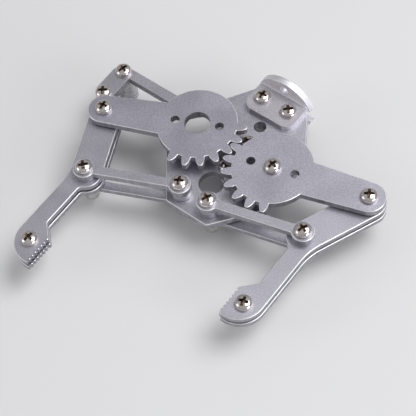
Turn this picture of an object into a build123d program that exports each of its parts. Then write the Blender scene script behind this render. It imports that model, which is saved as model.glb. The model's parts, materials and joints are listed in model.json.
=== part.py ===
from build123d import *
from math import acos, cos, degrees, hypot, pi, radians, sin, sqrt, tan
import os

os.makedirs("parts", exist_ok=True)

# Robot claw gripper
# A flat base plate carries two toothed arms that mesh on the centre line. Each arm swings a finger,
# and a pair of links parallel to the arm keeps the finger pointing straight ahead.
# Millimetres. The origin is the centre of the round wrist flange on its rear face.
# +Y points back towards the wrist, the jaws reach to -Y, +X is the driven side, +Z is up.

# Sheet stock
plate_t = 2.5             # base plate, toothed arms and upper links
thin_t = 2.0              # finger plates, lower links and wrist brackets
edge_break = 0.2          # deburred edges of the cut plates

# Levels
bush_h = 2.9              # bushes that lift the arms and upper links off the base plate
washer_t = 0.4
axial_play = 0.1          # running gap over each pivot

# Toothed arms
gear_module = 1.5
full_circle_teeth = 19    # teeth the sector would have if it went all the way round
sector_teeth = 7
pressure_angle = 25
addendum = 1.2
dedendum = 1.875
tooth_thinning = 0.2      # backlash, taken off each tooth at the pitch circle
touch = 0.02              # a corner this near a circle lies on it
tip_round = 0.35          # height of the rounded tooth tips
root_fillet = 0.3
flank_points = 6
first_tooth_angle = 70.4  # from the drive arm's centre line to its first tooth
arm_length = 30.0
arm_root_half = 6.3       # half width of the arm at the gear axis, before it tapers
arm_end_r = 5.0
hub_bore_r = 4.0          # the servo horn's hub sits in the drive arm
horn_hole_r = 1.4
horn_hole_offset = 7.0

# Rest pose, as the gripper stands open
mean_arm_angle = 4.45     # forward swing of both arms, averaged
teeth_out_of_step = 2     # the drive sector is meshed this many teeth ahead of the driven one

# Parallel links
link_inset = 9.05         # link pivots lie this far inboard of the arm pivots
link_lead = 20.0          # and this far ahead of them
link_bar_w = 3.0
link_end_r = 3.4

# Fingers
finger_end_r = 5.0
finger_outer = 4.1        # from the middle pivot out to the finger's outer edge
finger_inner = 1.5        # from the middle pivot in to the finger's inner edge
jaw_reach = 5.6           # from the middle pivot in to the jaw face
jaw_start = 23.6          # ahead of the middle pivot
jaw_ramp = 3.9            # length of the ramp behind the jaw face
finger_length = 33.4      # from the middle pivot to the fingertip
elbow_r = 18.0
tip_r = 8.2
corner_r = 0.8
crook_r = 1.5
tip_screw_inset = 1.1
tip_screw_lead = 27.1
notch_count = 7
notch_pitch = 1.31
notch_r = 0.5
notch_first = 24.65

# Base plate
wrist_reach = 27.1        # from the wrist face to the line of the gear axes
base_front = 24.6         # lengths from the gear line
base_rear = 24.4
base_front_half = 7.6
base_waist_half = 18.9
base_rear_half = 9.0
waist_front = 10.6
waist_rear = 9.6
base_corner_r = 1.0
front_hole_r = 4.0
front_hole_y = -12.1
rear_hole_r = 1.95
rear_hole_y = 12.2

# Servo frame, for a standard servo hung below the plate
servo_hole_span = 49.5
servo_hole_gap = 10.0
servo_shaft_offset = 14.75    # from the drive axis to the nearer pair of ear screws
frame_half = 7.4
frame_end = 3.5               # plate beyond the far ear screws
frame_corner_r = 3.5
window_half = 3.9
window_end = 3.3              # from the far ear screws to the window's end
horn_clearance_r = 7.5
standoff_r = 3.0
standoff_h = 10.0
standoff_screw_depth = 4.0    # thread that takes the frame's own screw
tap_drill_r = 1.25            # thread left open for the servo's screw, at its tap drill size
finger_relief = 0.5           # clearance cut round the finger end where it comes nearest

# Wrist flange, a round face made of two halves with a slot between them
flange_r = 10.0
slot_half = plate_t           # each bracket's tab lies this far from the flange's middle
tab_length = 12.1
tab_corner_r = 3.2
tab_inset = 1.2               # each side of a tab stands this far inside the flange's round
tab_half = flange_r - tab_inset
tab_screw_x = 4.9
tab_screw_y = 6.7
flange_hole_z = 6.5
bracket_fillet = 1.5

# M3 hardware
screw_r = 1.5
head_r = 2.6
head_h = 2.3
head_rim = 0.6
screw_tip = 0.3
long_screw_length = 16.0      # link pivots
middle_screw_length = 12.0    # arm pivots and wrist brackets
tip_screw_length = 8.0
servo_screw_length = 6.0
clamp_clearance = 0.1         # screw held fast in a plate
pivot_clearance = 0.08        # plate turning on a screw
thread_clearance = 0.02
servo_clearance = 0.2         # wider holes over the standoffs, so the servo frame can shift a little
nut_flats = 5.5
nut_h = 2.4
lock_nut_h = 4.0
lock_nut_hex = 2.8
lock_nut_collar_r = 2.5
bush_r = 3.0
washer_r = 3.2
spacer_r = 3.0

# Worked-out levels, from the wrist flange's middle up
base_top = plate_t
arm_bottom = base_top + bush_h + axial_play
arm_top = arm_bottom + plate_t
pivot_head_seat = arm_top + axial_play
finger_top = arm_bottom - axial_play - washer_t
finger_upper_bottom = finger_top - thin_t
finger_gap = finger_top - 2 * thin_t
lower_link_top = -washer_t - axial_play
lower_link_bottom = lower_link_top - thin_t
pivot_nut_top = lower_link_bottom - axial_play

# Worked-out plan
pitch_r = gear_module * full_circle_teeth / 2
root_r = pitch_r - dedendum
outside_r = pitch_r + addendum
tooth_pitch = 360 / full_circle_teeth
gear_y = -wrist_reach
clamp_hole_r = screw_r + clamp_clearance
pivot_hole_r = screw_r + pivot_clearance
thread_hole_r = screw_r + thread_clearance
servo_hole_r = screw_r + servo_clearance
drive_swing = mean_arm_angle + teeth_out_of_step * tooth_pitch / 2
driven_swing = mean_arm_angle - teeth_out_of_step * tooth_pitch / 2
LEFT, RIGHT = -1, 1
swing = {LEFT: drive_swing, RIGHT: driven_swing}


def gear_axis(side):
    return Vector(side * pitch_r, gear_y)


def link_base(side):
    return gear_axis(side) + Vector(-side * link_inset, -link_lead)


def arm_direction(side):
    return Vector(side * cos(radians(swing[side])), -sin(radians(swing[side])))


def arm_end(side):
    return gear_axis(side) + arm_direction(side) * arm_length


def finger_middle(side):
    return link_base(side) + arm_direction(side) * arm_length


def fingertip_screw(side):
    return finger_middle(side) + Vector(-side * tip_screw_inset, -tip_screw_lead)


def finish(piece, label):
    piece.part.label = label
    export_step(piece.part, f"parts/{label}.step")


def break_edges(plate):
    """Deburr the rims of a flat plate, top and bottom."""
    faces = plate.faces().filter_by(Axis.Z).sort_by(Axis.Z)
    chamfer(faces[0].outer_wire().edges() + faces[-1].outer_wire().edges(), edge_break)


# Base plate
servo_far_x = -pitch_r - (servo_hole_span - servo_shaft_offset)
servo_near_x = -pitch_r + servo_shaft_offset
servo_points = [
    (x, gear_y + y)
    for x in (servo_far_x, servo_near_x)
    for y in (-servo_hole_gap / 2, servo_hole_gap / 2)
]
tab_screw_points = [(-tab_screw_x, -tab_screw_y), (tab_screw_x, -tab_screw_y)]
frame_left = servo_far_x - frame_end
frame_length = -pitch_r - frame_left
window_length = -pitch_r - (servo_far_x + window_end)

with BuildPart() as base_plate:
    with BuildSketch() as base_outline:
        with BuildLine():
            half_outline = Polyline(
                (0, gear_y - base_front),
                (base_front_half, gear_y - base_front),
                (base_waist_half, gear_y - waist_front),
                (base_waist_half, gear_y + waist_rear),
                (base_rear_half, gear_y + base_rear),
                (0, gear_y + base_rear),
            )
            mirror(half_outline, about=Plane.YZ)
        make_face()
        fillet(base_outline.vertices(), base_corner_r)
        with Locations((frame_left + frame_length / 2, gear_y)):
            RectangleRounded(frame_length, 2 * frame_half, frame_corner_r)
        with Locations((-pitch_r - window_length / 2, gear_y)):
            Rectangle(window_length, 2 * window_half, mode=Mode.SUBTRACT)
        with Locations(arm_end(LEFT)):
            Circle(finger_end_r + finger_relief, mode=Mode.SUBTRACT)
    extrude(amount=plate_t)
    break_edges(base_plate)
    with Locations((-pitch_r, gear_y)):
        Hole(horn_clearance_r)
    with Locations((0, gear_y + front_hole_y)):
        Hole(front_hole_r)
    with Locations((0, gear_y + rear_hole_y)):
        Hole(rear_hole_r)
    with Locations(gear_axis(RIGHT), link_base(LEFT), link_base(RIGHT), *tab_screw_points):
        Hole(clamp_hole_r)
    with Locations(*servo_points):
        Hole(servo_hole_r)
finish(base_plate, "base_plate")

# Wrist flange, two equal brackets above and below the base plate
with BuildPart() as upper_wrist_bracket:
    with BuildSketch(Plane.YZ) as bend:
        with BuildLine():
            Polyline(
                (0, slot_half),
                (-tab_length, slot_half),
                (-tab_length, slot_half + thin_t),
                (-thin_t, slot_half + thin_t),
                (-thin_t, flange_r),
                (0, flange_r),
                close=True,
            )
        make_face()
        fillet(bend.vertices().sort_by_distance((0, -thin_t, slot_half + thin_t))[0], bracket_fillet)
    extrude(amount=tab_half, both=True)
    with BuildSketch(Plane.XZ):
        Rectangle(4 * flange_r, 4 * flange_r)
        Circle(flange_r, mode=Mode.SUBTRACT)
    extrude(amount=thin_t + bracket_fillet, mode=Mode.SUBTRACT)
    with BuildSketch(Plane.XZ):
        Circle(flange_r)
        with Locations((0, slot_half - flange_r)):
            Rectangle(2 * flange_r, 2 * flange_r, mode=Mode.SUBTRACT)
    extrude(amount=thin_t)
    fillet(upper_wrist_bracket.edges().filter_by(Axis.Z).group_by(Axis.Y)[0], tab_corner_r)
    with Locations(*[(x, y, slot_half + thin_t) for x, y in tab_screw_points]):
        Hole(clamp_hole_r)
    with BuildSketch(Plane.XZ):
        with Locations((0, flange_hole_z)):
            Circle(clamp_hole_r)
    extrude(amount=thin_t + bracket_fillet, mode=Mode.SUBTRACT)
finish(upper_wrist_bracket, "upper_wrist_bracket")

with BuildPart() as lower_wrist_bracket:
    mirror(upper_wrist_bracket.part, about=Plane.XY)
finish(lower_wrist_bracket, "lower_wrist_bracket")


# Toothed arms
def tooth_half_angle(radius):
    """Angle in degrees from the tooth's middle to its flank at a radius, on an involute."""
    base_r = pitch_r * cos(radians(pressure_angle))
    at_pitch = (pi * gear_module / 2 - tooth_thinning) / (2 * pitch_r)
    roll_pitch = radians(pressure_angle)
    roll = acos(min(1, base_r / radius))
    return degrees(at_pitch + tan(roll_pitch) - roll_pitch - tan(roll) + roll)


def tooth_profile():
    """One tooth, pointing along +X from the gear axis."""
    base_r = pitch_r * cos(radians(pressure_angle))
    step = (outside_r - tip_round - base_r) / (flank_points - 1)
    radii = [base_r + step * i for i in range(flank_points)]
    flank = [Vector(r, 0).rotate(Axis.Z, tooth_half_angle(r)) for r in radii]
    foot = Vector(root_r - dedendum / 4, 0).rotate(Axis.Z, tooth_half_angle(base_r))
    with BuildSketch() as tooth:
        with BuildLine():
            Line(foot, flank[0])
            Spline(*flank)
            mirror(about=Plane.XZ)
            ThreePointArc(flank[-1], (outside_r, 0), (flank[-1].X, -flank[-1].Y))
            Line(foot, (foot.X, -foot.Y))
        make_face()
    return tooth.sketch


def build_arm(side, centre_hole_r):
    """Toothed arm: teeth run anticlockwise from the drive arm, clockwise from the driven arm."""
    origin = gear_axis(side) + Vector(0, 0, arm_bottom)
    first = first_tooth_angle if side == LEFT else -first_tooth_angle - tooth_pitch / 2
    sweep = -side * (sector_teeth - 1) * tooth_pitch
    with BuildPart() as arm:
        with BuildSketch(Plane(origin, x_dir=arm_direction(side), z_dir=(0, 0, 1))) as outline:
            Circle(root_r)
            with PolarLocations(0, sector_teeth, first, sweep, endpoint=True):
                add(tooth_profile())
            feet = [v for v in outline.vertices() if abs(hypot(v.X, v.Y) - root_r) < touch]
            fillet(feet, root_fillet)
            with Locations((arm_length, 0)):
                Circle(arm_end_r)
            with BuildLine():
                Polyline(
                    (0, -arm_root_half),
                    (arm_length, -arm_end_r),
                    (arm_length, arm_end_r),
                    (0, arm_root_half),
                    close=True,
                )
            make_face()
        extrude(amount=plate_t)
        break_edges(arm)
        with Locations(gear_axis(side)):
            Hole(centre_hole_r)
        horn_reach = arm_direction(side) * horn_hole_offset
        with Locations(gear_axis(side) - horn_reach, gear_axis(side) + horn_reach):
            Hole(horn_hole_r)
        with Locations(arm_end(side)):
            Hole(pivot_hole_r)
    return arm


finish(build_arm(LEFT, hub_bore_r), "drive_arm")
finish(build_arm(RIGHT, pivot_hole_r), "driven_arm")


# Parallel links, one above and one below on each side
def build_link(side, bottom, thickness):
    origin = link_base(side) + Vector(0, 0, bottom)
    with BuildPart() as link:
        with BuildSketch(Plane(origin, x_dir=arm_direction(side), z_dir=(0, 0, 1))) as outline:
            with Locations((arm_length / 2, 0)):
                Rectangle(arm_length, link_bar_w)
            with Locations((0, 0), (arm_length, 0)):
                Circle(link_end_r)
            inside = link_end_r / 2
            necks = outline.vertices().filter_by(lambda v: inside < v.X < arm_length - inside)
            fillet(necks, corner_r)
            with Locations((0, 0), (arm_length, 0)):
                Circle(pivot_hole_r, mode=Mode.SUBTRACT)
        extrude(amount=thickness)
        break_edges(link)
    return link


# Fingers, two plates each
def finger_outline():
    """Outline of the right finger, from its arm pivot: +X outwards, +Y back."""
    middle = Vector(-link_inset, -link_lead)
    along = middle.normalized()
    out = Vector(-along.Y, along.X)
    outer_x = middle.X + finger_outer
    inner_x = middle.X - finger_inner
    jaw_x = middle.X - jaw_reach
    end_y = middle.Y - finger_length
    outer_start = out * finger_end_r
    elbow = outer_start + along * ((outer_x - outer_start.X) / along.X)
    ramp_foot = Vector(inner_x, middle.Y - jaw_start + jaw_ramp)
    ramp_top = Vector(jaw_x, middle.Y - jaw_start)
    heel = Vector(outer_x, end_y)
    toe = Vector(jaw_x, end_y)
    with BuildSketch() as outline:
        with BuildLine():
            Polyline(
                outer_start,
                elbow,
                heel,
                toe,
                ramp_top,
                ramp_foot,
                (inner_x, middle.Y),
                middle - out * finger_end_r,
                -out * finger_end_r,
                close=True,
            )
        make_face()
        for corner, radius in ((elbow, elbow_r), (heel, tip_r), (toe, corner_r), (ramp_foot, corner_r)):
            fillet(outline.vertices().sort_by_distance(corner)[0], radius)
        with Locations((0, 0), middle):
            Circle(finger_end_r)
        crook = Vector(inner_x, middle.Y - sqrt(finger_end_r**2 - finger_inner**2))
        fillet(outline.vertices().sort_by_distance(crook)[0], crook_r)
    return outline.sketch


def build_finger_plate(side, bottom):
    lift = Vector(0, 0, bottom)
    first_notch = finger_middle(side) + Vector(-side * jaw_reach, -notch_first)
    with BuildPart() as plate:
        with BuildSketch(Plane(arm_end(side) + lift)):
            add(finger_outline() if side == RIGHT else mirror(finger_outline(), about=Plane.YZ))
        extrude(amount=thin_t)
        break_edges(plate)
        with Locations(*[first_notch + Vector(0, -i * notch_pitch) + lift for i in range(notch_count)]):
            Hole(notch_r)
        screws = (arm_end(side), finger_middle(side), fingertip_screw(side))
        with Locations(*[point + lift for point in screws]):
            Hole(clamp_hole_r)
    return plate


# Hardware, each blank made once about its own axis with its seat at z = 0
def screw_blank(length):
    dome_r = (head_r**2 + (head_h - head_rim) ** 2) / (2 * (head_h - head_rim))
    with BuildPart() as blank:
        with BuildSketch(Plane.XZ):
            with BuildLine():
                RadiusArc((0, head_h), (head_r, head_rim), dome_r)
                Polyline(
                    (head_r, head_rim),
                    (head_r, 0),
                    (screw_r, 0),
                    (screw_r, screw_tip - length),
                    (screw_r - screw_tip, -length),
                    (0, -length),
                    (0, head_h),
                )
            make_face()
        revolve()
    return blank.part


def ring_blank(outer_r, height, hole_r):
    with BuildPart() as blank:
        with BuildSketch():
            Circle(outer_r)
            Circle(hole_r, mode=Mode.SUBTRACT)
        extrude(amount=height)
    return blank.part


def nut_blank(height, hex_height):
    """Hexagon nut that hangs below its seat; a lock nut has a round collar beyond its hexagon."""
    with BuildPart() as blank:
        with BuildSketch():
            RegularPolygon(nut_flats / 2, 6, major_radius=False)
        extrude(amount=-hex_height)
        if height > hex_height:
            with BuildSketch(Plane.XY.offset(-hex_height)):
                Circle(lock_nut_collar_r)
            extrude(amount=hex_height - height)
        Hole(thread_hole_r)
    return blank.part


def place(blank, points, seat, label):
    with BuildPart() as group:
        with Locations(*[(point[0], point[1], seat) for point in points]):
            add(blank)
    finish(group, label)


link_base_points = [tuple(link_base(side)) for side in (LEFT, RIGHT)]
driven_axis = [tuple(gear_axis(RIGHT))]

long_screw = screw_blank(long_screw_length)
middle_screw = screw_blank(middle_screw_length)
tip_screw = screw_blank(tip_screw_length)
servo_screw = screw_blank(servo_screw_length)
bush = ring_blank(bush_r, bush_h, clamp_hole_r)
washer = ring_blank(washer_r, washer_t, clamp_hole_r)
with BuildPart() as standoff:
    add(ring_blank(standoff_r, standoff_h, tap_drill_r))
    with Locations((0, 0, standoff_h)):
        Cylinder(thread_hole_r, 2 * standoff_screw_depth, mode=Mode.SUBTRACT)
plain_nut = nut_blank(nut_h, nut_h)
lock_nut = nut_blank(lock_nut_h, lock_nut_hex)

place(middle_screw, tab_screw_points, slot_half + thin_t, "wrist_screws")
place(ring_blank(spacer_r, slot_half, clamp_hole_r), tab_screw_points, -slot_half, "wrist_spacers")
place(plain_nut, tab_screw_points, -slot_half - thin_t, "wrist_nuts")
place(servo_screw, servo_points, base_top, "servo_screws")
place(standoff.part, servo_points, -standoff_h, "servo_standoffs")
place(middle_screw, driven_axis, pivot_head_seat, "driven_arm_screw")
place(bush, driven_axis, base_top, "driven_arm_bush")
place(lock_nut, driven_axis, 0, "driven_arm_nut")
place(long_screw, link_base_points, pivot_head_seat, "link_base_screws")
place(bush, link_base_points, base_top, "link_base_bushes")
place(washer, link_base_points, -washer_t, "link_base_washers")
place(lock_nut, link_base_points, pivot_nut_top, "link_base_nuts")

for side, name in ((LEFT, "left"), (RIGHT, "right")):
    end, middle, tip = tuple(arm_end(side)), tuple(finger_middle(side)), tuple(fingertip_screw(side))
    finish(build_link(side, arm_bottom, plate_t), f"{name}_upper_link")
    finish(build_link(side, lower_link_bottom, thin_t), f"{name}_lower_link")
    finish(build_finger_plate(side, finger_upper_bottom), f"{name}_finger_upper_plate")
    finish(build_finger_plate(side, 0), f"{name}_finger_lower_plate")
    finger_spacer = ring_blank(spacer_r, finger_gap, clamp_hole_r)
    place(finger_spacer, [end, middle, tip], thin_t, f"{name}_finger_spacers")
    place(washer, [end, middle], finger_top, f"{name}_finger_upper_washers")
    place(washer, [middle], -washer_t, f"{name}_finger_lower_washer")
    place(middle_screw, [end], pivot_head_seat, f"{name}_arm_pivot_screw")
    place(lock_nut, [end], 0, f"{name}_arm_pivot_nut")
    place(long_screw, [middle], pivot_head_seat, f"{name}_link_pivot_screw")
    place(lock_nut, [middle], pivot_nut_top, f"{name}_link_pivot_nut")
    place(tip_screw, [tip], finger_top, f"{name}_fingertip_screw")
    place(plain_nut, [tip], 0, f"{name}_fingertip_nut")
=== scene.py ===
import itertools
import json
import math

import bmesh
import bpy
from mathutils import Matrix, Vector

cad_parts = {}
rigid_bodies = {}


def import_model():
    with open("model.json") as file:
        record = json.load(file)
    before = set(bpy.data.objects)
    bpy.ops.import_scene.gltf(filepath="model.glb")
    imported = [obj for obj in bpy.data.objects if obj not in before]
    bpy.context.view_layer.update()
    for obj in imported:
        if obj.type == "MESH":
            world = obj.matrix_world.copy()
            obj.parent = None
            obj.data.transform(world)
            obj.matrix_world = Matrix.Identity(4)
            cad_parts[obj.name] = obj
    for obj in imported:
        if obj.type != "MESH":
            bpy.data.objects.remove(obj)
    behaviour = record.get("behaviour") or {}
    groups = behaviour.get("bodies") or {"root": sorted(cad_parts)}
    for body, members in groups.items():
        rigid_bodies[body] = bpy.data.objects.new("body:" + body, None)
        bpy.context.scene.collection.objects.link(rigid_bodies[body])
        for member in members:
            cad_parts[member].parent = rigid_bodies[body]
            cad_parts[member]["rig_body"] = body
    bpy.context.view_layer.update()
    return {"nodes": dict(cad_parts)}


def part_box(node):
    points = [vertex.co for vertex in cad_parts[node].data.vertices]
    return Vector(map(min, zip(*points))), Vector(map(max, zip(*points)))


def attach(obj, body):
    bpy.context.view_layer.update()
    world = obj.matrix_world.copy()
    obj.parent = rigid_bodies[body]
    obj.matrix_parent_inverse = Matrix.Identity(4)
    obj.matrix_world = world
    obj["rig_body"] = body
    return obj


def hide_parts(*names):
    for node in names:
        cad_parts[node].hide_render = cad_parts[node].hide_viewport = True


# Claw gripper: looks for the plates, and turned, tapped and driven detail for the small hardware.
# Lengths are millimetres, and MM turns them into metres. Names that end in _m or _M are in metres.
MM = 0.001
FACETS = 48                # sides of every round form
SMOOTH_ANGLE = math.radians(34)
SAME_PLACE = 0.1           # two axes nearer than this are one

# Screw heads, M3 pan
HEAD_R = 2.6
HEAD_H = 2.3               # the solid head, up to the top of its box
CROWN_H = 2.0              # the drawn head, flatter on top
HEAD_RIM = 0.55            # straight wall under the rounded shoulder
HEAD_EDGE = 0.12           # chamfer under the rim
SHOULDER_POWER = 2.15      # two would make the crown an ellipse, more makes it squarer
CROWN_RINGS = 12
TURN_STEP = 37             # degrees from one screw to the next, so that each stops at its own angle

# Cross recess
WING_TOP = 1.72            # half length of a recess wing at the crown
WING_FOOT = 0.74
WING_TOP_HALF = 0.46       # half width of a recess wing
WING_FOOT_HALF = 0.3
WING_ABOVE = 0.3           # the wing cutters reach this far above the crown
WING_FLARE = 0.2           # and are this much longer there,
WING_FLARE_HALF = 0.02     # and this much wider to each side
CORE_TOP_R = 0.86
CORE_FOOT_R = 0.42
CORE_ABOVE = 0.31          # not the same as WING_ABOVE, so that no two faces coincide
CORE_FACETS = 16
CORE_TURN = 0.1            # radians, keeps the cone's corners off the wings' planes
RECESS_DEPTH = 1.5
RECESS_POINT = 0.3         # cone left by the punch below the recess
RECESS_SUNK = 0.06         # a face of the cut head this far below the crown is the recess,
RECESS_MARGIN = 0.1        # if it is this near the wings and this far above the underside

# Screw shanks
SHANK_R = 1.49
SHANK_BITE = 0.05          # reach into the head
SHANK_NECK = 0.5           # least length without thread
RUN_OUT = 0.15             # cone from the plain shank down to the thread's core
THREAD_CORE_R = 1.2
THREAD_PITCH = 0.5
THREAD_LENGTH = 5.2
THREAD_STEPS = 24          # facets in one turn of the thread
RIDGE_START = 0.1          # below the plain shank
RIDGE_FOOT_HALF = 0.22
RIDGE_FOOT_SINK = 0.05     # the ridge's foot lies this far inside the core
RIDGE_CREST_HALF = 0.04
RIDGE_END_SINK = 0.04      # and at its two ends the crest is this far inside too
FADE_IN = 2.0              # share of the full height gained in a turn
FADE_OUT = 1.5
TIP_CHAMFER = 0.3

# Nuts
NUT_FLAT = 2.75            # centre to flat
NUT_CORNER_BREAK = 2.68    # where the corner chamfer starts
NUT_BREAK_SLOPE = math.tan(math.radians(30))
NUT_BORE = 1.5
NUT_BORE_MOUTH = 1.78
LOCK_HEX = 2.8             # height of a lock nut's hexagon, and more than a plain nut's
COLLAR_R = 2.5
COLLAR_ROOT = 0.05         # width of the fillet between hexagon and collar
COLLAR_ROOT_TOP = 0.02     # its two heights, below the hexagon
COLLAR_ROOT_FOOT = 0.12
COLLAR_CURL = 0.22
CURL_MIDDLE_IN = 0.35      # middle of the curl, in shares of it
CURL_MIDDLE_UP = 0.3
NYLON_R = 1.95
NYLON_LIP = 0.06           # chamfer of the collar round the nylon
NYLON_SINK = 0.12
NYLON_END = 0.16           # faces inside NYLON_R and this near the nut's end are nylon

# Turned rings
BUSH_R = 3.0
WASHER_R = 3.2
CLEAR_BORE = 1.6
TAPPED_BORE = 1.25
RING_BREAK = 0.18
WASHER_BREAK = 0.08

# CAD nodes
SIDES = ("left", "right")
FINGER_JOINTS = ("arm_pivot", "link_pivot", "fingertip")
ARMS = ["drive_arm", "driven_arm"]
BRACKETS = ["upper_wrist_bracket", "lower_wrist_bracket"]
BODY_SCREWS = ["servo_screws", "wrist_screws", "driven_arm_screw", "link_base_screws"]
BODY_NUTS = ["wrist_nuts", "driven_arm_nut", "link_base_nuts"]

# Sheet metal looks
FACE = (0.466, 0.458, 0.512, 1)
ARM_FACE = (0.452, 0.443, 0.51, 1)
CUT = (0.40, 0.39, 0.43, 1)
# painted highlight: the chamfered rims are coloured far lighter than the faces, for light catching the
# edges; partly the polish of deburring
RIM_PAINTED_HIGHLIGHT = (0.86, 0.86, 0.9, 1)
BENT_FACE = (0.45, 0.434, 0.475, 1)
# painted light: the bracket's upright is coloured about twice as light as its tab, though both are one
# sheet
BENT_UPRIGHT_PAINTED_LIGHT = (0.88, 0.86, 0.9, 1)
# painted highlight: the bracket's cut rim is coloured near white for the light that catches it
BENT_CUT_PAINTED_HIGHLIGHT = (0.74, 0.73, 0.78, 1)
SAW_MARKS = (1.0, 1.0, 0.12)    # stretch of the noise on cut edges
ROLL_MARKS = (0.08, 1.5, 0.08)
FACE_ROUGH_SPREAD = (-0.03, 0.05)
CUT_ROUGH = (0.42, 0.62)
RIM_FLATNESS = (0.35, 0.6)      # of facing(): a cut edge passes into its bright rim here,
FACE_FLATNESS = (0.86, 0.95)    # and the rim into the face here
BRACKET_T_M = 0.002
UPRIGHT_FULL_M = -BRACKET_T_M * 1.02
UPRIGHT_NONE_M = -BRACKET_T_M * 1.3
NOISE_CORE = (0.3, 0.7)         # most of a noise's values lie in here
NOISE_WIDE = (0.25, 0.75)

# Stage. A lamp's place and side are in metres, its power in watts
FLOOR_Z_M = -0.01001
FLOOR_RADIUS_M = 4.0
AIR_AT_HORIZON = 0.3
AIR_OVERHEAD = 0.47
LAMPS = {
    "key": ((0.32, 0.33, 0.9), 0.6, 7.2),
    "side": ((0.9, -0.05, 0.3), 0.5, 3.0),
    "front": ((-0.55, -0.6, 0.45), 0.4, 0.8),
}


# Materials
class Tree:
    """A short hand for building one material's nodes."""

    def __init__(self, name):
        self.material = bpy.data.materials.new(name)
        self.material.use_nodes = True
        self.nodes = self.material.node_tree.nodes
        self.links = self.material.node_tree.links
        self.shader = self.nodes["Principled BSDF"]

    def add(self, kind, settings=None, **inputs):
        """A node with its inputs fed, by name or by number as i0, i1 and so on."""
        node = self.nodes.new("ShaderNode" + kind)
        for key, value in (settings or {}).items():
            setattr(node, key, value)
        for key, value in inputs.items():
            self.feed(node, int(key[1:]) if key[0] == "i" and key[1:].isdigit() else key, value)
        return node

    def feed(self, node, key, value):
        socket = node.inputs[key]
        if isinstance(value, bpy.types.NodeSocket):
            self.links.new(value, socket)
        else:
            socket.default_value = value

    def maths(self, operation, first, second=0.0):
        return self.add("Math", {"operation": operation}, i0=first, i1=second).outputs[0]

    def noise(self, scale, detail=2.0, stretch=None):
        """Noise over the piece's own coordinates, in blobs of about 1/scale metres."""
        place = self.nodes.new("ShaderNodeTexCoord").outputs["Object"]
        if stretch:
            place = self.add("Mapping", i0=place, i3=stretch).outputs[0]
        return self.add("TexNoise", None, Vector=place, Scale=scale, Detail=detail).outputs["Fac"]

    def span(self, value, low, high, to_low, to_high):
        settings = {"interpolation_type": "SMOOTHSTEP"}
        node = self.add("MapRange", settings, i0=value, i1=low, i2=high, i3=to_low, i4=to_high)
        return node.outputs[0]

    def blend(self, factor, first, second):
        node = self.add("Mix", {"data_type": "RGBA"})
        self.feed(node, 0, factor)
        self.feed(node, 6, first)
        self.feed(node, 7, second)
        return node.outputs[2]

    def tint(self, value, low, high):
        """Grey value spread round one, to multiply a colour by."""
        return self.span(value, *NOISE_WIDE, low, high)

    def times(self, colour, value):
        node = self.add("VectorMath", {"operation": "SCALE"})
        self.feed(node, 0, colour if isinstance(colour, bpy.types.NodeSocket) else colour[:3])
        self.feed(node, "Scale", value)
        return node.outputs[0]

    def bump(self, height, strength, distance_m):
        node = self.add("Bump", None, Strength=strength, Distance=distance_m, Height=height)
        self.feed(self.shader, "Normal", node.outputs[0])


def upright_zone(tree):
    """One in a bracket's upright sheet, fading to nought over its bend."""
    place = tree.nodes.new("ShaderNodeTexCoord").outputs["Object"]
    depth = tree.add("SeparateXYZ", None, Vector=place).outputs["Y"]
    return tree.span(depth, UPRIGHT_NONE_M, UPRIGHT_FULL_M, 0.0, 1.0)


def facing(tree, in_upright=None):
    """One on a sheet's broad faces, nought on its cut edges, in between on the chamfers."""
    normal = tree.nodes.new("ShaderNodeNewGeometry").outputs["True Normal"]
    split = tree.add("SeparateXYZ", None, Vector=normal)
    if in_upright is None:
        return tree.maths("ABSOLUTE", split.outputs["Z"])
    along = tree.maths("ABSOLUTE", split.outputs["Y"])
    sideways = tree.maths("ABSOLUTE", split.outputs["X"])
    elsewhere = tree.maths("SUBTRACT", 1.0, sideways)
    kept = tree.maths("MULTIPLY", along, in_upright)
    rest = tree.maths("MULTIPLY", elsewhere, tree.maths("SUBTRACT", 1.0, in_upright))
    return tree.maths("ADD", kept, rest)


def plate_material(name, face, cut, rough=0.44, marks=SAW_MARKS, upright_painted_light=None, metallic=1.0):
    """Bead-blasted aluminium sheet with sawn-looking cut edges, and a painted highlight on the chamfered
    rims, partly deburred polish. An upright colour, if given, is painted light on the bracket's upright
    sheet.
    """
    tree = Tree(name)
    in_upright = upright_zone(tree) if upright_painted_light else None
    flat = facing(tree, in_upright)
    on_face = tree.span(flat, *FACE_FLATNESS, 0.0, 1.0)
    on_rim = tree.span(flat, *RIM_FLATNESS, 0.0, 1.0)
    grain = tree.noise(2600, 3.0)
    speckle = tree.noise(5200, 1.0)
    cloud = tree.noise(95, 3.0)
    saw = tree.noise(900, 2.0, stretch=marks)
    if upright_painted_light:
        # painted light: the upright sheet takes a far lighter colour than the rest of the bent sheet
        face = tree.blend(in_upright, face, upright_painted_light)
    face_colour = tree.times(face, tree.tint(grain, 0.84, 1.15))
    face_colour = tree.times(face_colour, tree.tint(speckle, 0.93, 1.06))
    face_colour = tree.times(face_colour, tree.tint(cloud, 0.96, 1.04))
    cut_colour = tree.times(cut, tree.tint(saw, 0.8, 1.16))
    # painted highlight: the rims are blended towards a near-white colour, partly deburred polish
    cut_and_rim_highlight_colour = tree.blend(on_rim, cut_colour, RIM_PAINTED_HIGHLIGHT)
    tree.feed(tree.shader, "Base Color", tree.blend(on_face, cut_and_rim_highlight_colour, face_colour))
    low, high = FACE_ROUGH_SPREAD
    face_gloss = tree.span(cloud, *NOISE_CORE, rough + low, rough + high)
    cut_gloss = tree.span(saw, *NOISE_CORE, *CUT_ROUGH)
    step = tree.maths("MULTIPLY", tree.maths("SUBTRACT", face_gloss, cut_gloss), on_face)
    tree.feed(tree.shader, "Roughness", tree.maths("ADD", cut_gloss, step))
    tree.shader.inputs["Metallic"].default_value = metallic
    tree.bump(tree.blend(on_face, saw, grain), strength=0.32, distance_m=0.03 * MM)
    return tree.material


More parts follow.
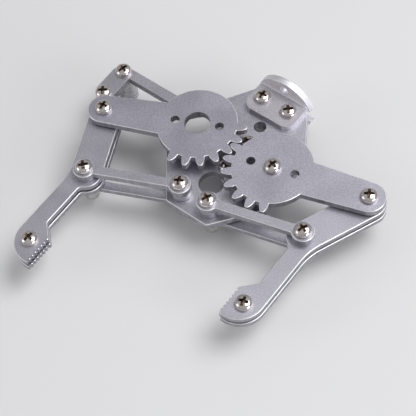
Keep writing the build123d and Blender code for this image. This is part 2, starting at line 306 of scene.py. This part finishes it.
def plated_material(name, colour, roughness, mottle=0.05):
    """Plated or turned small metalwork with faint handling marks."""
    tree = Tree(name)
    smear = tree.noise(700, 3.0)
    fine = tree.noise(6500, 1.0)
    gloss = tree.span(smear, *NOISE_CORE, roughness * 0.75, roughness * 1.35)
    tree.feed(tree.shader, "Base Color", tree.times(colour, tree.tint(smear, 1 - mottle, 1 + mottle)))
    tree.feed(tree.shader, "Roughness", gloss)
    tree.shader.inputs["Metallic"].default_value = 1.0
    tree.bump(fine, strength=0.05, distance_m=0.01 * MM)
    return tree.material


def turned_material(name, colour, roughness):
    """Lathe-turned metal: fine rings round the axis show as bands along its wall."""
    tree = Tree(name)
    rings = tree.noise(2400, 2.0, stretch=(0.05, 0.05, 1.0))
    gloss = tree.span(rings, *NOISE_CORE, roughness * 0.8, roughness * 1.3)
    tree.feed(tree.shader, "Base Color", tree.times(colour, tree.tint(rings, 0.85, 1.1)))
    tree.feed(tree.shader, "Roughness", gloss)
    tree.shader.inputs["Metallic"].default_value = 1.0
    tree.bump(rings, strength=0.2, distance_m=0.02 * MM)
    return tree.material


def nylon_material():
    tree = Tree("nylon_insert")
    shade = tree.noise(1500, 2.0)
    tree.feed(tree.shader, "Base Color", tree.times((0.78, 0.78, 0.74, 1), tree.tint(shade, 0.92, 1.04)))
    tree.feed(tree.shader, "Roughness", tree.span(shade, *NOISE_CORE, 0.42, 0.55))
    tree.shader.inputs["Subsurface Weight"].default_value = 0.2
    tree.shader.inputs["Subsurface Scale"].default_value = 0.3 * MM
    tree.bump(shade, strength=0.1, distance_m=0.02 * MM)
    return tree.material


# Mesh helpers
def ring(bm, radius, z, turn=0.0, steps=FACETS):
    """A ring of points. The radius may be a function of the angle, and so may the height."""
    points = []
    for k in range(steps):
        angle = 2 * math.pi * k / steps + turn
        r = radius(angle) if callable(radius) else radius
        h = z(angle) if callable(z) else z
        points.append(bm.verts.new((r * math.cos(angle), r * math.sin(angle), h)))
    return points


def skin(bm, rings, closed=False):
    """Quads between neighbouring rings, back to the first when closed."""
    following = rings[1:] + (rings[:1] if closed else [])
    for low, high in zip(rings, following):
        for k in range(len(low)):
            n = (k + 1) % len(low)
            bm.faces.new((low[k], low[n], high[n], high[k]))


def cap(bm, points, z):
    """A fan from a ring to a point on the axis."""
    middle = bm.verts.new((0, 0, z))
    for k in range(len(points)):
        bm.faces.new((points[k], points[(k + 1) % len(points)], middle))


def to_mesh(bm, name):
    """Closed forms with their normals outward, smooth but for their sharp edges."""
    bmesh.ops.recalc_face_normals(bm, faces=bm.faces)
    for face in bm.faces:
        face.smooth = True
    for edge in bm.edges:
        edge.smooth = len(edge.link_faces) == 2 and edge.calc_face_angle(0) < SMOOTH_ANGLE
    mesh = bpy.data.meshes.new(name)
    bm.to_mesh(mesh)
    bm.free()
    return mesh


def cut_away(mesh, cutters, name):
    """The mesh less each cutter in turn, by exact booleans."""
    body = bpy.data.objects.new(name, mesh)
    bpy.context.scene.collection.objects.link(body)
    tools = []
    for cutter in cutters:
        tool = bpy.data.objects.new(name + "_cutter", cutter)
        bpy.context.scene.collection.objects.link(tool)
        modifier = body.modifiers.new("cut", "BOOLEAN")
        modifier.operation = "DIFFERENCE"
        modifier.solver = "EXACT"
        modifier.object = tool
        tools.append(tool)
    depsgraph = bpy.context.evaluated_depsgraph_get()
    result = bpy.data.meshes.new_from_object(body.evaluated_get(depsgraph))
    for spent in [body] + tools:
        bpy.data.objects.remove(spent)
    return result


# Screws
def crown_height(radius):
    """Height of the head's top at a radius: nearly flat, then a rounded shoulder."""
    inward = 1 - min(1.0, radius / HEAD_R) ** SHOULDER_POWER
    return HEAD_RIM + (CROWN_H - HEAD_RIM) * inward ** (1 / SHOULDER_POWER)


def plain_head():
    """Pan head with its rim wall, standing on z 0."""
    bm = bmesh.new()
    rings = []
    for k in range(1, CROWN_RINGS + 1):
        radius = HEAD_R * math.sin(math.pi / 2 * k / CROWN_RINGS) ** (2 / SHOULDER_POWER)
        rings.append(ring(bm, radius, crown_height(radius)))
    rings.append(ring(bm, HEAD_R, HEAD_EDGE))
    rings.append(ring(bm, HEAD_R - HEAD_EDGE, 0))
    skin(bm, rings)
    cap(bm, rings[0], CROWN_H)
    cap(bm, rings[-1], 0)
    return to_mesh(bm, "plain_head")


def wing_cutter(turn):
    """One tapered bar of the cross."""
    bm = bmesh.new()
    foot = (WING_FOOT, WING_FOOT_HALF, CROWN_H - RECESS_DEPTH)
    top = (WING_TOP + WING_FLARE, WING_TOP_HALF + WING_FLARE_HALF, CROWN_H + WING_ABOVE)
    rings = []
    for length, half, z in (foot, top):
        corners = [(length, -half), (length, half), (-length, half), (-length, -half)]
        rings.append([bm.verts.new((x, y, z)) for x, y in corners])
    skin(bm, rings)
    bm.faces.new(rings[0][::-1])
    bm.faces.new(rings[1])
    bmesh.ops.rotate(bm, verts=bm.verts, cent=(0, 0, 0), matrix=Matrix.Rotation(turn, 3, "Z"))
    return to_mesh(bm, "wing_cutter")


def core_cutter():
    """The cone in the middle of the cross, with the punch's point below."""
    bm = bmesh.new()
    foot = CROWN_H - RECESS_DEPTH
    low = ring(bm, CORE_FOOT_R, foot, CORE_TURN, CORE_FACETS)
    high = ring(bm, CORE_TOP_R, CROWN_H + CORE_ABOVE, CORE_TURN, CORE_FACETS)
    skin(bm, [low, high])
    cap(bm, low, foot - RECESS_POINT)
    bm.faces.new(high)
    return to_mesh(bm, "core_cutter")


def screw_head():
    """Head with its cross recess; the recess walls take the second material, a dark painted shade."""
    cutters = [wing_cutter(0), wing_cutter(math.pi / 2), core_cutter()]
    mesh = cut_away(plain_head(), cutters, "screw_head")
    bm = bmesh.new()
    bm.from_mesh(mesh)
    for face in bm.faces:
        middle = face.calc_center_median()
        radius = math.hypot(middle.x, middle.y)
        sunk = crown_height(radius) - middle.z > RECESS_SUNK
        inside = radius < WING_TOP + RECESS_MARGIN and middle.z > RECESS_MARGIN
        face.material_index = 1 if sunk and inside else 0
    return to_mesh(bm, "screw_head")


def screw_shank(length):
    """Plain shank, thread core and a helical ridge, below z 0."""
    bm = bmesh.new()
    thread = min(THREAD_LENGTH, length - SHANK_NECK)
    profile = [
        (SHANK_R, SHANK_BITE),
        (SHANK_R, thread - length),
        (THREAD_CORE_R, thread - length - RUN_OUT),
        (THREAD_CORE_R, TIP_CHAMFER - length),
        (THREAD_CORE_R - TIP_CHAMFER, -length),
    ]
    rings = [ring(bm, r, z) for r, z in profile]
    skin(bm, rings)
    cap(bm, rings[0], SHANK_BITE)
    cap(bm, rings[-1], -length)
    start = thread - length - RIDGE_START
    count = int((thread - TIP_CHAMFER) / THREAD_PITCH) * THREAD_STEPS
    foot_r = THREAD_CORE_R - RIDGE_FOOT_SINK
    end_r = THREAD_CORE_R - RIDGE_END_SINK
    ridge = []
    for k in range(count + 1):
        angle = 2 * math.pi * k / THREAD_STEPS
        fade = min(1.0, k / THREAD_STEPS * FADE_IN, (count - k) / THREAD_STEPS * FADE_OUT)
        crest_r = end_r + (SHANK_R - end_r) * fade
        z = start - THREAD_PITCH * k / THREAD_STEPS
        section = [
            (foot_r, z + RIDGE_FOOT_HALF),
            (crest_r, z + RIDGE_CREST_HALF),
            (crest_r, z - RIDGE_CREST_HALF),
            (foot_r, z - RIDGE_FOOT_HALF),
        ]
        ridge.append([bm.verts.new((r * math.cos(angle), r * math.sin(angle), h)) for r, h in section])
    skin(bm, ridge)
    bm.faces.new(ridge[0])
    bm.faces.new(ridge[-1][::-1])
    return to_mesh(bm, "screw_shank")


# Nuts and rings
def hexagon(angle):
    """Radius of the hexagon, corners along X."""
    turn = math.radians(60)
    return NUT_FLAT / math.cos((angle % turn) - turn / 2)


def corner_drop(angle):
    """How far the corner chamfer has come down at the hexagon's wall."""
    return max(0.0, hexagon(angle) - NUT_CORNER_BREAK) * NUT_BREAK_SLOPE


def nut_mesh(height):
    """Hexagon nut hanging from z 0; the taller lock nut has a rolled collar and a nylon ring."""
    bm = bmesh.new()
    lock = height > LOCK_HEX
    foot = -LOCK_HEX if lock else -height
    rings = [
        ring(bm, NUT_BORE_MOUTH, 0),
        ring(bm, NUT_CORNER_BREAK, 0),
        ring(bm, hexagon, lambda a: -corner_drop(a)),
        ring(bm, hexagon, lambda a: foot + corner_drop(a)),
        ring(bm, NUT_CORNER_BREAK, foot),
    ]
    if lock:
        bore_foot = NYLON_SINK - height
        rings += [
            ring(bm, COLLAR_R + COLLAR_ROOT, foot - COLLAR_ROOT_TOP),
            ring(bm, COLLAR_R, foot - COLLAR_ROOT_FOOT),
            ring(bm, COLLAR_R, COLLAR_CURL - height),
            ring(bm, COLLAR_R - COLLAR_CURL * CURL_MIDDLE_IN, COLLAR_CURL * CURL_MIDDLE_UP - height),
            ring(bm, COLLAR_R - COLLAR_CURL, -height),
            ring(bm, NYLON_R + NYLON_LIP, -height),
            ring(bm, NYLON_R, bore_foot),
        ]
    else:
        bore_foot = foot + NUT_BORE_MOUTH - NUT_BORE
        rings.append(ring(bm, NUT_BORE_MOUTH, foot))
    rings.append(ring(bm, NUT_BORE, bore_foot))
    rings.append(ring(bm, NUT_BORE, NUT_BORE - NUT_BORE_MOUTH))
    skin(bm, rings, closed=True)
    if lock:
        for face in bm.faces:
            middle = face.calc_center_median()
            if math.hypot(middle.x, middle.y) < NYLON_R and middle.z < NYLON_END - height:
                face.material_index = 1
    return to_mesh(bm, "nut")


def ring_mesh(outer, bore, height, edge):
    """A bush, spacer or washer standing on z 0, its rims broken."""
    bm = bmesh.new()
    outline = [(outer - edge, 0), (outer, edge), (outer, height - edge), (outer - edge, height)]
    outline += [(bore + edge, height), (bore, height - edge), (bore, edge), (bore + edge, 0)]
    skin(bm, [ring(bm, r, z) for r, z in outline], closed=True)
    return to_mesh(bm, "ring")


# Placing
def stands(low_m, high_m, half):
    """The one or two places along a box where pieces of this half width stand, in millimetres."""
    first, last = low_m / MM + half, high_m / MM - half
    if last - first < SAME_PLACE:
        return [(first + last) / 2]
    return [first, last]


def centres(node, half_x, half_y):
    """Axes of a node's equal pieces that stand at the corners of its box, in millimetres."""
    low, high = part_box(node)
    ys = stands(low.y, high.y, half_y)
    return [(x, y) for x in stands(low.x, high.x, half_x) for y in ys]


def gather(name, node, parts, materials):
    """One object from meshes set out at (x, y, z, turn), standing for a CAD node."""
    bm = bmesh.new()
    for mesh, x, y, z, turn in parts:
        copy = mesh.copy()
        copy.transform(Matrix.Translation((x, y, z)) @ Matrix.Rotation(turn, 4, "Z"))
        bm.from_mesh(copy)
        bpy.data.meshes.remove(copy)
    bmesh.ops.scale(bm, vec=(MM, MM, MM), verts=bm.verts)
    made = bpy.data.meshes.new(name)
    bm.to_mesh(made)
    bm.free()
    for material in materials:
        made.materials.append(material)
    obj = bpy.data.objects.new(name, made)
    bpy.context.scene.collection.objects.link(obj)
    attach(obj, frame["nodes"][node]["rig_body"])
    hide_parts(node)


def dress_screws(node, head, counter, look):
    low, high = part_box(node)
    shank = screw_shank(round((high.z - low.z) / MM - HEAD_H, 2))
    seat = high.z / MM - HEAD_H
    parts = []
    for x, y in centres(node, HEAD_R, HEAD_R):
        turn = math.radians(next(counter) * TURN_STEP % 90)
        parts.append((head, x, y, seat, turn))
        parts.append((shank, x, y, seat, 0.0))
    gather(node + "_driven_home", node, parts, [look["screw"], look["recess"]])


def dress_nuts(node, look):
    low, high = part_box(node)
    mesh = nut_mesh(round((high.z - low.z) / MM, 2))
    corner = hexagon(0)
    parts = [(mesh, x, y, high.z / MM, 0.0) for x, y in centres(node, corner, NUT_FLAT)]
    gather(node + "_chamfered", node, parts, [look["nut"], look["nylon"]])


def dress_rings(node, outer, material, bore=CLEAR_BORE, edge=RING_BREAK, spots=None):
    """Rings at the corners of the node's box, or at the spots given."""
    low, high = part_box(node)
    mesh = ring_mesh(outer, bore, (high.z - low.z) / MM, edge)
    parts = [(mesh, x, y, low.z / MM, 0.0) for x, y in spots or centres(node, outer, outer)]
    gather(node + "_turned", node, parts, [material])


def dress_finger_rings(side, look):
    """Spacers between a finger's plates, and washers over and under its pivots."""
    spots = []
    for joint in FINGER_JOINTS:
        spots += centres(f"{side}_{joint}_screw", HEAD_R, HEAD_R)
    rows = [
        ("finger_spacers", BUSH_R, look["spacer"], spots),
        ("finger_upper_washers", WASHER_R, look["washer"], spots[:2]),
        ("finger_lower_washer", WASHER_R, look["washer"], spots[1:2]),
    ]
    for name, outer, material, places in rows:
        dress_rings(f"{side}_{name}", outer, material, edge=WASHER_BREAK, spots=places)


def dress_hardware(look):
    head = screw_head()
    counter = itertools.count(1)
    of_fingers = [f"{side}_{joint}" for side in SIDES for joint in FINGER_JOINTS]
    for node in BODY_SCREWS + [name + "_screw" for name in of_fingers]:
        dress_screws(node, head, counter, look)
    for node in BODY_NUTS + [name + "_nut" for name in of_fingers]:
        dress_nuts(node, look)
    dress_rings("driven_arm_bush", BUSH_R, look["spacer"])
    dress_rings("link_base_bushes", BUSH_R, look["spacer"])
    dress_rings("link_base_washers", WASHER_R, look["washer"], edge=WASHER_BREAK)
    dress_rings("wrist_spacers", BUSH_R, look["spacer"])
    dress_rings("servo_standoffs", BUSH_R, look["spacer"], bore=TAPPED_BORE)
    for side in SIDES:
        dress_finger_rings(side, look)


def paint(nodes, material):
    for node in nodes:
        slots = frame["nodes"][node].material_slots
        for entry in slots:
            entry.material = material


def dress_plates():
    sheet = plate_material("blasted_sheet", FACE, CUT)
    arm = plate_material("blasted_arm", ARM_FACE, CUT, rough=0.42)
    # the bent bracket gets painted light on its upright and a painted highlight on its cut rims
    bent = plate_material("bent_sheet_painted_light", BENT_FACE, BENT_CUT_PAINTED_HIGHLIGHT, 0.5, ROLL_MARKS, BENT_UPRIGHT_PAINTED_LIGHT, 0.75)
    plates = ["base_plate"]
    for side in SIDES:
        plates += [f"{side}_upper_link", f"{side}_lower_link"]
        plates += [f"{side}_finger_upper_plate", f"{side}_finger_lower_plate"]
    paint(plates, sheet)
    paint(ARMS, arm)
    paint(BRACKETS, bent)


# Stage
def make_camera():
    """At the photograph's viewing angle, fitted to the pivots seen there."""
    right = Vector((0.78452, 0.61092, -0.10628))
    up = Vector((-0.48558, 0.71185, 0.50745))
    back = Vector((0.38566, -0.34650, 0.85511))
    place = Vector((152.10, -179.36, 329.89)) * MM
    data = bpy.data.cameras.new("camera")
    data.sensor_width = 36
    data.lens = 111.86
    data.clip_start = 0.01
    data.clip_end = 20
    camera = bpy.data.objects.new("camera", data)
    turn = Matrix((right, up, back)).transposed().to_4x4()
    camera.matrix_world = Matrix.Translation(place) @ turn
    bpy.context.scene.collection.objects.link(camera)
    bpy.context.scene.camera = camera


def softbox(name, place_m, side_m, power):
    """A square lamp that faces the gripper."""
    data = bpy.data.lights.new(name, "AREA")
    data.shape = "SQUARE"
    data.size = side_m
    data.energy = power
    lamp = bpy.data.objects.new(name, data)
    lamp.location = place_m
    aim = Vector((0, -0.03, 0)) - lamp.location
    lamp.rotation_euler = aim.to_track_quat("-Z", "Y").to_euler()
    bpy.context.scene.collection.objects.link(lamp)


def make_world():
    """Even grey studio air, a little darker towards the horizon."""
    world = bpy.data.worlds.new("studio")
    world.use_nodes = True
    bpy.context.scene.world = world
    nodes, links = world.node_tree.nodes, world.node_tree.links
    place = nodes.new("ShaderNodeTexCoord")
    split = nodes.new("ShaderNodeSeparateXYZ")
    spread = nodes.new("ShaderNodeMapRange")
    spread.inputs["From Min"].default_value = 0.0
    spread.inputs["From Max"].default_value = 0.8
    spread.inputs["To Min"].default_value = AIR_AT_HORIZON
    spread.inputs["To Max"].default_value = AIR_OVERHEAD
    links.new(place.outputs["Generated"], split.inputs[0])
    links.new(split.outputs["Z"], spread.inputs["Value"])
    links.new(spread.outputs[0], nodes["Background"].inputs["Color"])


def make_floor():
    """Pale matt table top."""
    bm = bmesh.new()
    bmesh.ops.create_circle(bm, cap_ends=True, segments=64, radius=FLOOR_RADIUS_M)
    mesh = bpy.data.meshes.new("floor")
    bm.to_mesh(mesh)
    bm.free()
    floor = bpy.data.objects.new("floor", mesh)
    floor.location.z = FLOOR_Z_M
    bpy.context.scene.collection.objects.link(floor)
    tree = Tree("pale_floor")
    shade = tree.noise(4, 2.0)
    colour = tree.times((0.66, 0.66, 0.67, 1), tree.tint(shade, 0.985, 1.015))
    tree.feed(tree.shader, "Base Color", colour)
    tree.shader.inputs["Roughness"].default_value = 0.85
    tree.shader.inputs["Specular IOR Level"].default_value = 0.2
    mesh.materials.append(tree.material)


def main():
    bpy.context.scene.view_settings.view_transform = "Standard"
    look = {
        "screw": plated_material("nickel_plate", (0.7, 0.65, 0.64, 1), 0.16),
        # painted shade: the recess walls take a dark brown for the shade inside the cross
        "recess": plated_material("nickel_recess_painted_shade", (0.21, 0.155, 0.125, 1), 0.42, mottle=0.25),
        "nut": plated_material("zinc_plate", (0.60, 0.59, 0.58, 1), 0.3),
        "washer": plated_material("steel_washer", (0.62, 0.62, 0.64, 1), 0.26),
        "spacer": turned_material("turned_aluminium", (0.58, 0.58, 0.61, 1), 0.3),
        "nylon": nylon_material(),
    }
    dress_plates()
    dress_hardware(look)
    make_camera()
    make_world()
    make_floor()
    for name, settings in LAMPS.items():
        softbox(name, *settings)


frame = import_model()
main()
